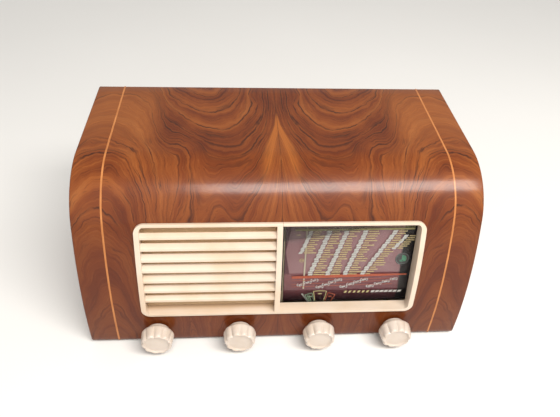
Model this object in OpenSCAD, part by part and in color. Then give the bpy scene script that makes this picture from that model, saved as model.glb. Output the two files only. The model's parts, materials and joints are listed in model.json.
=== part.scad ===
// Table radio with a bent plywood cabinet, louvred grille, glass tuning dial and four knobs.
// Millimetres, +Z up, the front faces -Y. The origin is on the ground, in the middle of the radio's box.
// Modules are drawn in cabinet coordinates (y = 0 at the foremost line of the front, z = 0 at the
// underside of the cabinet) and moved into the frame by in_frame().

/* [Cabinet] */
// Width of the cabinet
cab_w = 420; // [410:1:440]
// Depth of the cabinet from the foremost line of the front to the back edge
cab_d = 219; // [216:1:230]
// Height of the cabinet without its feet
cab_h = 202; // [200:1:206]
// Thickness of the bent plywood shell
shell_t = 7; // [6:0.5:7]
// Thickness of the side panels
side_t = 9; // [8:0.5:10]
// Thickness of the base board
base_t = 8; // [7:0.5:8]
// Radius of the rounded shoulder between front and top
shoulder_r = 67.5; // [67:0.5:68]
// Radius of the gently curved front
front_r = 443; // [440:1:446]
// Angle above horizontal at which the front curve meets the shoulder
lean = 19.7; // [19.5:0.1:20]
// Distance of the inlay lines from the middle
inlay_x = 179.3; // [178:0.1:181]
// Width of the inlay lines
inlay_w = 2; // [1.5:0.1:2.5]
// Height of the rubber feet
foot_h = 4; // [3:0.5:8]

/* [Front moulding] */
// Outer width of the moulding
trim_w = 299.4; // [298:0.1:301]
// Sideways place of the moulding's middle
trim_x = 0.7; // [0:0.1:1]
// Width of its opening
open_w = 288.8; // [288:0.1:289]
// How far its rim stands proud of the cabinet
rim_proud = 3; // [2:0.1:3.5]
// Number of louvre slats
slats = 7; // [5:1:7]
// Distance between slats along the front
slat_pitch = 13.3; // [13:0.1:13.4]
// Upward slope of the slats towards the back
slat_rise = 20; // [15:1:24]

/* [Knobs] */
// Places of the four knobs across the front
knob_x = [-133.5, -43, 46, 133.5]; // [-135:0.5:135]
// Height of the knob axes above the underside
knob_z = 20; // [20:0.5:21]
// Radius of the knobs
knob_r = 18.2; // [16:0.1:18.4]
// How far the knobs stand out from the front
knob_out = 22; // [20:1:24]
// Number of lobes round a knob
knob_lobes = 10; // [8:1:12]
// How far each knob is turned at rest
knob_turn = [7, -2, -7, 4]; // [-18:1:18]

/* [Tuning] */
// Radius at which the cord runs round the drive drum
drum_r = 36.9; // [36.9:0.1:37.2]
// Place of the drum's axis
drum_x = 75; // [74:1:76]
// Height of the drum's axis
drum_z = 92; // [91:1:93]
// Place of the pointer across the dial at rest
pointer_x = 28; // [20:1:120]
// Angle of the waveband needle at rest, to the left of upright
band_rest = 29.5; // [20:0.5:35]

/* [Hidden] */

$fn = 64;
// Radial clearance of screws in wood and of parts fixed on a shaft
snug = 0.02;
big = 600;

// Cabinet profile
shoulder_y = front_r - cos(lean) * (front_r - shoulder_r);
shoulder_z = cab_h - shoulder_r;
front_cz = shoulder_z - sin(lean) * (front_r - shoulder_r);
inlay_t = 0.8;
// The frame's origin
mid_y = (cab_d - knob_out) / 2;

// Dial plane: the chord of the front between the top and the bottom of the moulding's opening
open_z0 = 47.5;
open_z1 = 156;
function front_y(z, proud = 0) = front_r - sqrt(pow(front_r + proud, 2) - pow(z - front_cz, 2));
dial_tilt = atan((front_y(open_z1) - front_y(open_z0)) / (open_z1 - open_z0));
dial_y = (front_y(open_z0) + front_y(open_z1)) / 2;
dial_z = (open_z0 + open_z1) / 2;
// Centre of the front's curve as [depth, height] in the dial's own plane
curve_d = (front_r - dial_y) * cos(dial_tilt) - (front_cz - dial_z) * sin(dial_tilt);
curve_s = (front_r - dial_y) * sin(dial_tilt) + (front_cz - dial_z) * cos(dial_tilt);
function curve_depth(s, proud) = curve_d - sqrt(pow(front_r + proud, 2) - pow(s - curve_s, 2));

// Moulding, as [low, high] along the dial plane
rim_s = [-59.6, 58.1];
open_s = [-56.2, 54.8];
back_d = 9;
back_s = [-53.1, 54.2];
tube_s = [-58.1, 56.8];
divider = [-4.9, 0.9];
slat_top = 43.2;
slat_lip = 3;
slat_back = 1.9;

// Speaker
spk_x = -74.3;
spk_d = 15.7;
spk_r = 62;
cone_r = 50;
coil_r = 13;

// Glass, dial frame and pointer
glass_t = 2.5;
glass = [2, 150];
glass_s = [-57, 57.5];
pan_d = 24;
pan = [4, 153];
pan_s = [-60, 60];
pointer_d = 12.2;
rail_d = 27;
rail_s = 63;
rail_r = 1.5;

// Cord drive
cord_r = 0.5;
cord_y = 58.5;
loop_gap = 0.8;
pulley_y = cord_y + loop_gap;
shaft_r = 3;
wrap_r = 3.9;
pulley_r = 7.9;
pulley_x = [-1, 146];
pulley_z = 163;
axle_fit = 0.05;

// Chassis
ch_x = 186;
ch_y = [60, 200];
ch_z = [8, 50];
sheet = 1.2;
valve_y = 176;
valve_x = [-82, -42, -4, 68, 108];
if_can_x = [32, 146];

module in_frame() translate([0, -mid_y, foot_h]) children();

// Placed in the dial's plane: x across, y inwards from the chord, z up along it
module on_dial() translate([0, dial_y, dial_z]) rotate([-dial_tilt, 0, 0]) children();

// A flat outline of (y, z) extruded along x between two places
module across(x0, x1) translate([x0, 0, 0]) rotate([90, 0, 90]) linear_extrude(x1 - x0) children();

// An outline of (x, z) extruded along y between two places
module inward(y0, y1) translate([0, y1, 0]) rotate([90, 0, 0]) linear_extrude(y1 - y0) children();

module box(x, y, z) translate([x[0], y[0], z[0]]) cube([x[1] - x[0], y[1] - y[0], z[1] - z[0]]);

module rod(r, y0, y1) translate([0, y0, 0]) rotate([-90, 0, 0]) cylinder(r = r, h = y1 - y0);

module rounded(x, z, r) {
  translate([x[0] + r, z[0]]) square([x[1] - x[0] - 2 * r, z[1] - z[0]]);
  translate([x[0], z[0] + r]) square([x[1] - x[0], z[1] - z[0] - 2 * r]);
  for (cx = [x[0] + r, x[1] - r], cz = [z[0] + r, z[1] - r]) translate([cx, cz]) circle(r);
}

// Side profile of the cabinet, moved inwards by inset on the front, shoulder and top
module section(inset, y_end = cab_d, z_low = 0) {
  difference() {
    intersection() {
      translate([front_r, front_cz]) circle(front_r - inset, $fn = 256);
      translate([-5, z_low]) square([y_end + 5, cab_h - inset - z_low]);
    }
    difference() {
      polygon([
        [shoulder_y, shoulder_z],
        [shoulder_y - big * cos(lean), shoulder_z + big * sin(lean)],
        [shoulder_y - big, shoulder_z + big],
        [shoulder_y, shoulder_z + big]
      ]);
      translate([shoulder_y, shoulder_z]) circle(shoulder_r - inset, $fn = 128);
    }
  }
}

// The skin between two insets, over front, shoulder and top
module skin(outer, inner) {
  difference() {
    section(outer);
    section(inner, cab_d + 1, -1);
  }
}

module cabinet_shell() color("saddlebrown") in_frame() difference() {
  across(-cab_w / 2, cab_w / 2) skin(0, shell_t);
  on_dial() inward(-15, 25) rounded([trim_x - open_w / 2 - 2.6, trim_x + open_w / 2 + 2.6],
    [tube_s[0] - 0.3, tube_s[1] + 0.3], 7);
  for (x = knob_x) translate([x, 0, knob_z]) rod(4.5, -5, 15);
  for (side = [-1, 1]) across(side * inlay_x - inlay_w / 2, side * inlay_x + inlay_w / 2) skin(-1, inlay_t);
}

module inlay_lines() color("goldenrod") in_frame() for (side = [-1, 1])
  across(side * inlay_x - inlay_w / 2, side * inlay_x + inlay_w / 2) skin(0, inlay_t);

module side_panel(side) {
  x = side < 0 ? -cab_w / 2 : cab_w / 2 - side_t;
  in_frame() across(x, x + side_t) section(shell_t);
}

module side_panel_left() color("sienna") side_panel(-1);

module side_panel_right() color("sienna") side_panel(1);

base_x = cab_w / 2 - side_t;
screw_xz = [for (x = [-192, 0, 192]) [x, 186], for (x = [-192, 192]) [x, 26], [0, 4]];
base_y = [shell_t + 0.5, cab_d - 8];
bolt_xy = [for (x = [-150, 150], y = [80, 186]) [x, y]];
foot_xy = [for (x = [-180, 180], y = [26, 196]) [x, y]];

module base_board() color("burlywood") in_frame() difference() {
  box([-base_x, base_x], base_y, [0, base_t]);
  for (p = bolt_xy) translate([p[0], p[1], -1]) cylinder(r = 2.6, h = base_t + 2);
  for (p = foot_xy) translate([p[0], p[1], -1]) cylinder(r = 1.5 + snug, h = base_t + 2);
  for (p = screw_xz) translate([p[0], 0, p[1]]) rod(1.6 + snug, cab_d - 20, cab_d);
  for (k = [-3:3]) translate([k * 34, 130, 0])
    linear_extrude(3 * base_t, center = true) rounded([-4, 4], [-34, 34], 3.9);
}

module rubber_feet() color("dimgray") in_frame() for (p = foot_xy) translate([p[0], p[1], -foot_h])
  difference() {
    rotate_extrude() polygon([[0, 0], [8.6, 0], [10, foot_h], [0, foot_h]]);
    translate([0, 0, -1]) cylinder(r = 4, h = 2.6);
    cylinder(r = 1.8, h = foot_h + 1);
  }

module foot_screws() color("silver") in_frame() for (p = foot_xy) translate([p[0], p[1], -foot_h]) {
  translate([0, 0, 1.6 - 1.2]) cylinder(r = 3.4, h = 1.2);
  translate([0, 0, 1.5]) cylinder(r = 1.5, h = 9.5);
}

batten_y = [cab_d - 18, cab_d - 8];

module back_battens() color("burlywood") in_frame() difference() {
  union() {
    for (x = [-base_x, base_x - 15]) box([x, x + 15], batten_y, [base_t, cab_h - shell_t]);
    box([-base_x + 15, base_x - 15], batten_y, [cab_h - shell_t - 16, cab_h - shell_t]);
  }
  for (p = screw_xz) translate([p[0], 0, p[1]]) rod(1.6 + snug, cab_d - 20, cab_d);
}

// Back panel of perforated board, let into the back of the cabinet
module rear_cover() color("peru") in_frame() difference() {
  box([-base_x + 0.5, base_x - 0.5], [cab_d - 8, cab_d - 5], [1, cab_h - shell_t - 0.5]);
  for (row = [0:8], col = [-11:11])
    translate([col * 15 + (row % 2) * 7.5, 0, 74 + row * 12]) rod(3, cab_d - 12, cab_d);
  inward(cab_d - 12, cab_d) rounded([-48, 78], [20, 44], 4);
  translate([-150, 0, 32]) rod(7, cab_d - 12, cab_d);
  for (p = screw_xz) translate([p[0], 0, p[1]]) rod(1.8, cab_d - 12, cab_d);
}

module rear_cover_screws() color("silver") in_frame() for (p = screw_xz) translate([p[0], 0, p[1]]) {
  difference() {
    rod(3.6, cab_d - 4.98, cab_d - 2.8);
    box([-4, 4], [cab_d - 3.8, cab_d], [-0.5, 0.5]);
  }
  rod(1.6, cab_d - 14, cab_d - 4.9);
}

// Wood blocks glued inside the front, which the baffle and the dial frame are screwed to
block_x = [[-186, -158], [159, 186]];
block_s = [[-52, -36], [36, 52]];
block_d = back_d + 0.6;

panel_screw_s = [-44, 44];

module mounting_blocks() color("burlywood") in_frame() difference() {
  intersection() {
    across(-190, 190) section(shell_t);
    on_dial() for (x = block_x, s = block_s) box(x, [-10, block_d], s);
  }
  on_dial() for (x = [-168, 170], s = panel_screw_s) translate([x, 0, s]) rod(1.6 + snug, 0, 30);
}

// Front moulding: rim, sloped inner walls, divider and louvres in one piece
module opening_section() {
  polygon([
    [-14, open_s[0] - 3.2],
    [back_d + 1, back_s[0]],
    [back_d + 1, back_s[1]],
    [-14, open_s[1] + 0.6]
  ]);
}

module slat_section(s) {
  front_d = curve_depth(s, 1);
  run = slat_back - front_d;
  rise = run * tan(slat_rise + dial_tilt);
  polygon([
    [front_d, s],
    [slat_back, s + rise],
    [slat_back, s + rise - 1.3],
    [front_d + 1.8, s - slat_lip + 0.9],
    [front_d + 0.8, s - slat_lip],
    [curve_depth(s - slat_lip, 1), s - slat_lip]
  ]);
}

module front_region(proud, depth) {
  intersection() {
    translate([curve_d, curve_s]) circle(front_r + proud, $fn = 256);
    translate([-30, -80]) square([30 + depth, 160]);
  }
}

module front_moulding() color("ivory") in_frame() on_dial() {
  difference() {
    union() {
      intersection() {
        across(-200, 200) difference() {
          front_region(rim_proud, 20);
          translate([curve_d, curve_s]) circle(front_r, $fn = 256);
        }
        inward(-20, 30) rounded([trim_x - trim_w / 2, trim_x + trim_w / 2], rim_s, 10);
      }
      intersection() {
        across(-200, 200) front_region(rim_proud - 0.2, back_d);
        inward(-20, 30) rounded([trim_x - open_w / 2 - 2.2, trim_x + open_w / 2 + 2.2], tube_s, 7);
      }
    }
    intersection() {
      union() {
        across(trim_x - open_w / 2, divider[0]) opening_section();
        across(divider[1], trim_x + open_w / 2) opening_section();
      }
      inward(-25, 30) rounded([trim_x - open_w / 2, trim_x + open_w / 2],
        [open_s[0] - 0.6, open_s[1] + 0.6], 6);
    }
  }
  for (k = [0:slats - 1])
    across(trim_x - open_w / 2 - 0.5, divider[0] + 0.5) slat_section(slat_top - k * slat_pitch);
}

module grille_cloth() color("tan") in_frame() on_dial()
  box([-157, -4], [back_d + 0.05, back_d + 0.55], [-62, 60]);

module baffle_board() color("burlywood") in_frame() on_dial() difference() {
  box([-174, -3], [back_d + 0.6, spk_d - 0.1], [-64, 62]);
  translate([spk_x, 0, 0]) rod(cone_r + 4, 0, 30);
  for (x = [-168, -12], s = panel_screw_s) translate([x, 0, s]) rod(1.6 + snug, 0, 30);
  at_speaker() for (p = spk_holes) translate([p[0], p[1], -10]) cylinder(r = 1.6 + snug, h = 12);
}

// Wood screw with a slotted head, driven from behind into a face at this depth
module panel_screw(x, depth, s, length) translate([x, depth, s]) {
  rod(1.6, -length, 0);
  difference() {
    rod(3.2, 0, 1.8);
    box([-4, 4], [1, 3], [-0.4, 0.4]);
  }
}

module panel_screws() color("silver") in_frame() on_dial() for (s = panel_screw_s) {
  panel_screw(-168, spk_d - 0.1, s, 9);
  panel_screw(-12, spk_d + 0.9, s, 6);
  panel_screw(170, block_d + 1, s, 4.5);
}

// Loudspeaker, drawn along the dial plane's inward direction
module at_speaker() translate([spk_x, spk_d, 0]) rotate([-90, 0, 0]) children();

spk_holes = [for (a = [45:90:315]) [cos(a) * 58, sin(a) * 58]];

module speaker_basket() color("gray") in_frame() on_dial() at_speaker() difference() {
  rotate_extrude() polygon([
    [cone_r + 2.5, 0], [spk_r, 0], [spk_r, 1.2], [cone_r + 4, 1.2], [30, 28], [coil_r + 2, 28],
    [coil_r + 2, 26.8], [29, 26.8], [cone_r + 2.5, 1.2]
  ]);
  for (a = [0:60:300]) rotate([0, 0, a]) translate([41, 0, 16]) rotate([0, 45, 0])
    linear_extrude(24, center = true) rounded([-8, 8], [-13, 13], 4);
  for (p = spk_holes) translate([p[0], p[1], -1]) cylinder(r = 2.1, h = 4);
}

module speaker_magnet() color("dimgray") in_frame() on_dial() at_speaker() difference() {
  translate([0, 0, 28.1]) cylinder(r = 25, h = 27);
  translate([0, 0, 28]) difference() {
    cylinder(r = coil_r + 1.2, h = 12);
    translate([0, 0, -1]) cylinder(r = coil_r - 1.6, h = 20);
  }
}

module speaker_cone() color("black") in_frame() on_dial() at_speaker() rotate_extrude() polygon([
  [coil_r - 0.6, 20.5], [cone_r - 5.5, 3], [cone_r - 2.5, 3], [cone_r - 2.5, 3.8], [cone_r - 5.1, 3.8],
  [coil_r + 0.4, 21.1], [coil_r + 0.4, 36], [coil_r - 0.6, 36]
]);

cap_r = 18;
cap_cz = 33.5;

module speaker_dust_cap() color("black") in_frame() on_dial() at_speaker() difference() {
  translate([0, 0, cap_cz]) intersection() {
    sphere(r = cap_r);
    translate([0, 0, -cap_r]) cylinder(r = coil_r - 0.65, h = 6);
  }
  translate([0, 0, cap_cz]) sphere(r = cap_r - 0.8);
}

module speaker_screws() color("silver") in_frame() on_dial() at_speaker() for (p = spk_holes)
  translate([p[0], p[1], 0]) {
    translate([0, 0, 1.25]) cylinder(r = 3.6, h = 1.6);
    translate([0, 0, -5]) cylinder(r = 1.6, h = 6.4);
  }

// Tuning dial
module dial_glass() color("maroon") in_frame() on_dial()
  box(glass, [back_d + 0.05, back_d + glass_t], glass_s);

lamp_x = [55, 98];
lamp_s = 47;

// Sheet-metal frame behind the glass, with ears for its screws and pins for the cord pulleys
module dial_frame() color("wheat") in_frame() difference() {
  union() {
    on_dial() {
      box(pan, [pan_d, pan_d + 1], pan_s);
      for (x = [pan[0], pan[1] - 1]) box([x, x + 1], [back_d + glass_t + 0.3, pan_d + 1], pan_s);
      box([pan[1] - 1, 161], [pan_d, pan_d + 1], [-52, 52]);
      for (s = block_s) {
        box([160, 161], [block_d, pan_d + 1], s);
        box([160, 178], [block_d, block_d + 1], s);
        box([-20, 5], [spk_d - 0.1, spk_d + 0.9], s);
      }
      for (x = pulley_x) box([x - 7, x + 7], [pan_d, pan_d + 1], [pan_s[1] - 1, 71]);
    }
    for (x = pulley_x) translate([x, 0, pulley_z]) rod(1.5, 51.6, pulley_y + 2.6);
  }
  on_dial() {
    translate([eye_x, 0, eye_s]) rod(15, 20, 30);
    for (x = lamp_x) translate([x, 0, lamp_s]) rod(5.2, 20, 30);
    for (x = [-12, 170], s = panel_screw_s) translate([x, 0, s]) rod(1.8, 0, 20);
  }
}

module dial_lamps() color("gold") in_frame() on_dial() for (x = lamp_x) translate([x, 0, lamp_s]) {
  rod(4.8, 21, 40);
  translate([0, 21, 0]) sphere(r = 4.8);
  rod(6.4, 27, 41);
  box([-3, 3], [pan_d + 1, pan_d + 2], [-20, -5.8]);
  box([-3, 3], [pan_d + 1, 40], [-7.2, -5.8]);
}

module dial_pointer() color("ivory") in_frame() on_dial() {
  box([pointer_x - 0.8, pointer_x + 0.8], [pointer_d, pointer_d + 0.8], [-37, rail_s + 1]);
  box([pointer_x - 2, pointer_x + 2], [pointer_d, rail_d - 3], [rail_s, rail_s + 1]);
}

// The carriage runs on the rail and holds the cord's top run
module pointer_carriage() color("silver") in_frame() difference() {
  union() {
    on_dial() box([pointer_x - 6, pointer_x + 6], [rail_d - 3, rail_d + 4.5], [rail_s - 2.4, rail_s + 4]);
    box([pointer_x - 3, pointer_x + 3], [pulley_y - 2, pulley_y + 2], [156, pulley_z + pulley_r + 2]);
  }
  on_dial() translate([pointer_x - 20, rail_d, rail_s]) rotate([0, 90, 0])
    cylinder(r = rail_r + axle_fit, h = 40);
  translate([pointer_x - 20, pulley_y, pulley_z + pulley_r]) rotate([0, 90, 0])
    cylinder(r = cord_r + 0.35, h = 40);
}

module pointer_rail() color("silver") in_frame() on_dial() {
  translate([7, rail_d, rail_s]) rotate([0, 90, 0]) cylinder(r = rail_r, h = 141.5);
  for (x = [3.5, 148]) box([x, x + 4], [pan_d + 1, rail_d + 1.8], [rail_s - 9, rail_s + 1.8]);
}

// Waveband needle on the band switch's shaft
module band_needle() color("white") in_frame() translate([knob_x[2], 0, knob_z]) rotate([0, -band_rest, 0])
  difference() {
    union() {
      rod(6, 17, 21);
      box([-0.7, 0.7], [18, 19], [0, 38]);
    }
    rod(shaft_r + snug, 10, 30);
  }

// Tuning eye: a glass tube that looks through the dial
eye_x = 136;
eye_s = 1;
eye_d = 14;
module at_eye() translate([eye_x, eye_d, eye_s]) rotate([-90, 0, 0]) children();

module magic_eye() color("darkseagreen") in_frame() on_dial() at_eye() rotate_extrude() polygon([
  [0, 0], [11, 0], [13, 1], [14, 3.4], [14, 50], [11, 56], [11, 60], [0, 60]
]);

// Chassis: a steel pan, open below, with feet turned in along both long sides
module chassis() color("silver") in_frame() difference() {
  union() {
    box([-ch_x, ch_x], ch_y, [ch_z[1] - sheet, ch_z[1]]);
    for (y = [ch_y[0], ch_y[1] - sheet]) box([-ch_x, ch_x], [y, y + sheet], ch_z);
    for (x = [-ch_x, ch_x - sheet]) box([x, x + sheet], ch_y, ch_z);
    for (x = [-ch_x, ch_x - 44]) box([x, x + 44], ch_y, [ch_z[0], ch_z[0] + sheet]);
  }
  for (p = bolt_xy) translate([p[0], p[1], 0]) cylinder(r = 2.6, h = 20);
  for (x = knob_x) translate([x, 0, knob_z]) rod(5.2, ch_y[0] - 5, ch_y[0] + 5);
  for (x = valve_x) translate([x, valve_y, ch_z[1] - 5]) cylinder(r = 11, h = 10);
  translate([-150, 0, 32]) rod(8, ch_y[1] - 5, ch_y[1] + 5);
  inward(ch_y[1] - 5, ch_y[1] + 5) rounded([-30, 60], [26, 38], 3);
}

module chassis_bolts() color("gray") in_frame() for (p = bolt_xy) translate([p[0], p[1], 0]) {
  translate([0, 0, -2.2]) cylinder(r = 4.6, h = 2.2, $fn = 6);
  cylinder(r = 2.5, h = ch_z[0] + 8);
  translate([0, 0, ch_z[0] + sheet]) cylinder(r = 4.6, h = 3.4, $fn = 6);
}

module valve_sockets() color("saddlebrown") in_frame() {
  for (x = valve_x) translate([x, valve_y, ch_z[1]]) difference() {
    union() {
      cylinder(r = 14, h = 5);
      translate([0, 0, -6]) cylinder(r = 10.6, h = 7);
    }
    for (a = [0:45:315]) rotate([0, 0, a]) translate([6.5, 0, -1]) cylinder(r = 0.9, h = 7);
  }
  on_dial() at_eye() difference() {
    translate([0, 0, 60.1]) cylinder(r = 15, h = 12);
    for (a = [0:45:315]) rotate([0, 0, a]) translate([8.5, 0, 62]) cylinder(r = 1.2, h = 20);
  }
}

// Glass valve with a metal collar and eight pins' base
module valve(k, r, h) in_frame() translate([valve_x[k], valve_y, ch_z[1] + 5.1]) rotate_extrude() polygon([
  [0, 0], [r + 0.6, 0], [r + 0.6, 5], [r, 6], [r, h - 9], [r * 0.72, h - 3.6], [r * 0.3, h - 2.6],
  [r * 0.16, h], [0, h]
]);

module rectifier_valve() color("lightcyan") valve(0, 11, 62);

module output_valve() color("lightcyan") valve(1, 11, 68);

module detector_valve() color("lightcyan") valve(2, 11, 56);

module if_valve() color("lightcyan") valve(3, 11, 56);

module mixer_valve() color("lightcyan") valve(4, 11, 60);

module if_cans() color("gainsboro") in_frame() for (x = if_can_x)
  translate([x, valve_y - (x > 100 ? 14 : 0), ch_z[1]]) difference() {
    linear_extrude(64) rounded([-14, 14], [-14, 14], 4);
    translate([0, 0, 50]) cylinder(r = 3, h = 20);
    for (z = [16, 44]) translate([0, 0, z]) rod(2.5, 9, 20);
  }

// Iron core with a wound coil through it
module transformer(x, y, w, d, h, coil) {
  box([x - w / 2, x + w / 2], [y - d / 2, y + d / 2], [ch_z[1], ch_z[1] + h]);
  translate([x, y, ch_z[1] + h * 0.52]) linear_extrude(h * 0.62, center = true)
    rounded([-w * 0.33, w * 0.33], [-d / 2 - coil, d / 2 + coil], 3);
  for (sx = [-1, 1], sy = [-1, 1]) translate([x + sx * (w / 2 - 5), y + sy * (d / 2 - 5), ch_z[1] + h])
    cylinder(r = 4, h = 3, $fn = 6);
}

module mains_transformer() color("dimgray") in_frame() transformer(-146, 150, 68, 40, 58, 11);

module output_transformer() color("dimgray") in_frame() transformer(-150, 92, 40, 22, 34, 7);

module smoothing_capacitor() color("silver") in_frame() translate([-88, 120, ch_z[1]]) {
  rotate_extrude() polygon([[0, 0], [16, 0], [16, 66], [14.5, 68], [14.5, 69], [0, 69]]);
  difference() {
    cylinder(r = 18, h = 8);
    translate([0, 0, -1]) cylinder(r = 15.9, h = 10);
  }
}

// Two-gang tuning capacitor: half-round rotor plates turn into the gaps between the stator plates
cap_y = [76, 124];
plate_t = 1;
plate_gap = 4;
plate_r = 23;
gang_y = [82, 104];
plates = 4;

module half_disc(r, side) {
  difference() {
    circle(r);
    translate([-2 * r, side > 0 ? -2 * r : 0]) square([4 * r, 2 * r]);
  }
}

module plate_stack(offset_y, side, r_out, r_in) for (y = gang_y, k = [0:plates - 1])
  translate([0, y + offset_y + k * plate_gap, 0]) rotate([90, 0, 0]) translate([0, 0, -plate_t])
    linear_extrude(plate_t) difference() {
      half_disc(r_out, side);
      circle(r_in);
    }

module tuning_stator() color("silver") in_frame() translate([drum_x, 0, drum_z]) {
  for (y = [cap_y[0], cap_y[1] - 2, gang_y[1] - 3.4]) difference() {
    box([-27, 27], [y, y + 2], [-30, 27]);
    rod(shaft_r + axle_fit, y - 1, y + 3);
  }
  box([-27, 27], cap_y, [-32, -30]);
  for (x = [-24, 20]) box([x, x + 4], [cap_y[0] + 6, cap_y[1] - 6], [ch_z[1] - drum_z, -31]);
  for (x = [-27, 25.5]) box([x, x + 1.5], cap_y, [-30, -20]);
  plate_stack(0, -1, 25.6, 6);
  for (x = [-25.4, 23.4]) box([x, x + 2], [gang_y[0], cap_y[1] - 4], [-9, -1]);
}

// The rotor's plates stand clear of the stator when the pointer is at the left end of the scale
scale_x0 = 14.5;
rotor_rest = (pointer_x - scale_x0) / drum_r * 180 / PI;

module tuning_rotor() color("gainsboro") in_frame() translate([drum_x, 0, drum_z]) {
  rod(shaft_r, cord_y - 6, cap_y[1] + 4);
  rotate([0, rotor_rest, 0]) plate_stack(plate_gap / 2, 1, plate_r, shaft_r - 0.2);
}

// Drum that the cords run on, clamped on the capacitor's shaft
module drive_drum() color("peru") in_frame() translate([drum_x, cord_y, drum_z]) rotate([-90, 0, 0])
  difference() {
    rotate_extrude() polygon([
      [shaft_r + snug, -4.5], [9, -4.5], [9, -1], [drum_r - 7, -1], [drum_r - 7, -3], [drum_r + 1, -3],
      [drum_r - 0.9, -1.8], [drum_r - 0.9, 1.8], [drum_r + 1, 3], [drum_r - 7, 3],
      [drum_r - 7, 1], [9, 1], [9, 4.5], [shaft_r + snug, 4.5]
    ]);
    for (a = [30:60:330]) rotate([0, 0, a]) translate([20, 0, -5]) cylinder(r = 6.5, h = 10);
  }

module cord_pulley(k) in_frame() translate([pulley_x[k], pulley_y, pulley_z]) rotate([-90, 0, 0])
  rotate_extrude() polygon([
    [1.5 + axle_fit, -2], [pulley_r + 0.9, -2], [pulley_r - 0.9, -0.7], [pulley_r - 0.9, 0.7],
    [pulley_r + 0.9, 2], [1.5 + axle_fit, 2]
  ]);

module cord_pulley_left() color("goldenrod") cord_pulley(0);

module cord_pulley_right() color("goldenrod") cord_pulley(1);

// Cord: a loop from the tuning shaft round the drum, and a loop from the drum over both pulleys.
// Its straight runs reach a little way into the curved ones.
run_in = 0.3;

module cord_run(a, b, y) {
  run = [b[0] - a[0], b[1] - a[1]];
  translate([a[0], y, a[1]]) rotate([0, atan2(run[0], run[1]), 0]) translate([0, 0, -run_in])
    cylinder(r = cord_r - 0.02, h = norm(run) + 2 * run_in);
}

module cord_arc(c, r, from, sweep, y) translate([c[0], y, c[1]]) rotate([90, 0, 0]) rotate([0, 0, from])
  rotate_extrude(angle = sweep) translate([r, 0]) circle(cord_r, $fn = 16);

// Angle, seen from the front, of the outer tangent on the left of the line from circle a to circle b
function tangent_angle(a, ra, b, rb) =
  atan2(b[1] - a[1], b[0] - a[0]) + acos((ra - rb) / norm([b[0] - a[0], b[1] - a[1]]));
function on_circle(c, r, angle) = [c[0] + r * cos(angle), c[1] + r * sin(angle)];

module drive_cord() color("darkkhaki") in_frame() {
  drum = [drum_x, drum_z];
  left = [pulley_x[0], pulley_z];
  right = [pulley_x[1], pulley_z];
  shaft = [knob_x[3], knob_z];
  up_left = tangent_angle(drum, drum_r, left, pulley_r);
  up_right = 2 * atan2(right[1] - drum[1], right[0] - drum[0]) - tangent_angle(drum, drum_r, right, pulley_r);
  down_a = tangent_angle(drum, drum_r, shaft, wrap_r);
  down_b = 2 * atan2(shaft[1] - drum[1], shaft[0] - drum[0]) - down_a;
  back = pulley_y;
  front = cord_y - loop_gap;
  cord_run(on_circle(drum, drum_r, up_left), on_circle(left, pulley_r, up_left), back);
  cord_arc(left, pulley_r, 90, up_left - 90, back);
  cord_run([left[0], left[1] + pulley_r], [right[0], right[1] + pulley_r], back);
  cord_arc(right, pulley_r, up_right, 90 - up_right, back);
  cord_run(on_circle(right, pulley_r, up_right), on_circle(drum, drum_r, up_right), back);
  cord_arc(drum, drum_r, up_left, 360 + up_right - up_left, back);
  cord_run(on_circle(drum, drum_r, down_a), on_circle(shaft, wrap_r, down_a), front);
  cord_arc(shaft, wrap_r, down_b, down_a - down_b, front);
  cord_run(on_circle(shaft, wrap_r, down_b), on_circle(drum, drum_r, down_b), front);
  cord_arc(drum, drum_r, down_a, 360 + down_b - down_a, front);
}

// Controls
module bushing(x, y0) translate([x, 0, knob_z]) difference() {
  union() {
    rod(4.8, y0, ch_y[0] + 3);
    translate([0, ch_y[0] - 2.5, 0]) rotate([-90, 0, 0]) cylinder(r = 7.4, h = 2.4, $fn = 6);
  }
  rod(shaft_r + axle_fit, y0 - 1, ch_y[0] + 4);
}

module potentiometer(x) {
  bushing(x, ch_y[0] - 7);
  translate([x, 0, knob_z]) difference() {
    union() {
      rod(11.5, ch_y[0] + sheet, ch_y[0] + 14);
      for (dx = [-7, 0, 7]) box([dx - 1, dx + 1], [ch_y[0] + 4, ch_y[0] + 5], [9, 17]);
    }
    rod(shaft_r + axle_fit, ch_y[0], ch_y[0] + 10);
  }
}

module volume_control() color("peru") in_frame() {
  potentiometer(knob_x[0]);
  translate([knob_x[0], 0, knob_z]) rod(10, ch_y[0] + 14, ch_y[0] + 24);
}

module tone_control() color("peru") in_frame() potentiometer(knob_x[1]);

module band_switch() color("burlywood") in_frame() {
  bushing(knob_x[2], ch_y[0] - 7);
  translate([knob_x[2], 0, knob_z]) {
    for (y = [ch_y[0] + sheet, ch_y[0] + 18, ch_y[0] + 34]) difference() {
      inward(y, y + 2) rounded([-17, 17], [-10.5, 10.5], 3);
      rod(shaft_r + axle_fit, y - 1, y + 3);
    }
    for (x = [-14, 14]) translate([x, 0, 0]) rod(1.5, ch_y[0] + sheet, ch_y[0] + 38);
  }
}

module control_shaft(k, y1) translate([knob_x[k], 0, knob_z]) rod(shaft_r, -knob_out + 4, y1);

module volume_shaft() color("silver") in_frame() control_shaft(0, ch_y[0] + 9);

module tone_shaft() color("silver") in_frame() control_shaft(1, ch_y[0] + 9);

module band_shaft() color("silver") in_frame() control_shaft(2, ch_y[0] + 40);

// Tuning shaft with the flywheel that makes the tuning run on
module tuning_shaft() color("silver") in_frame() {
  control_shaft(3, ch_y[0] + 46);
  translate([knob_x[3], 0, knob_z]) rod(10.5, ch_y[0] + 14, ch_y[0] + 26);
}

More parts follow.
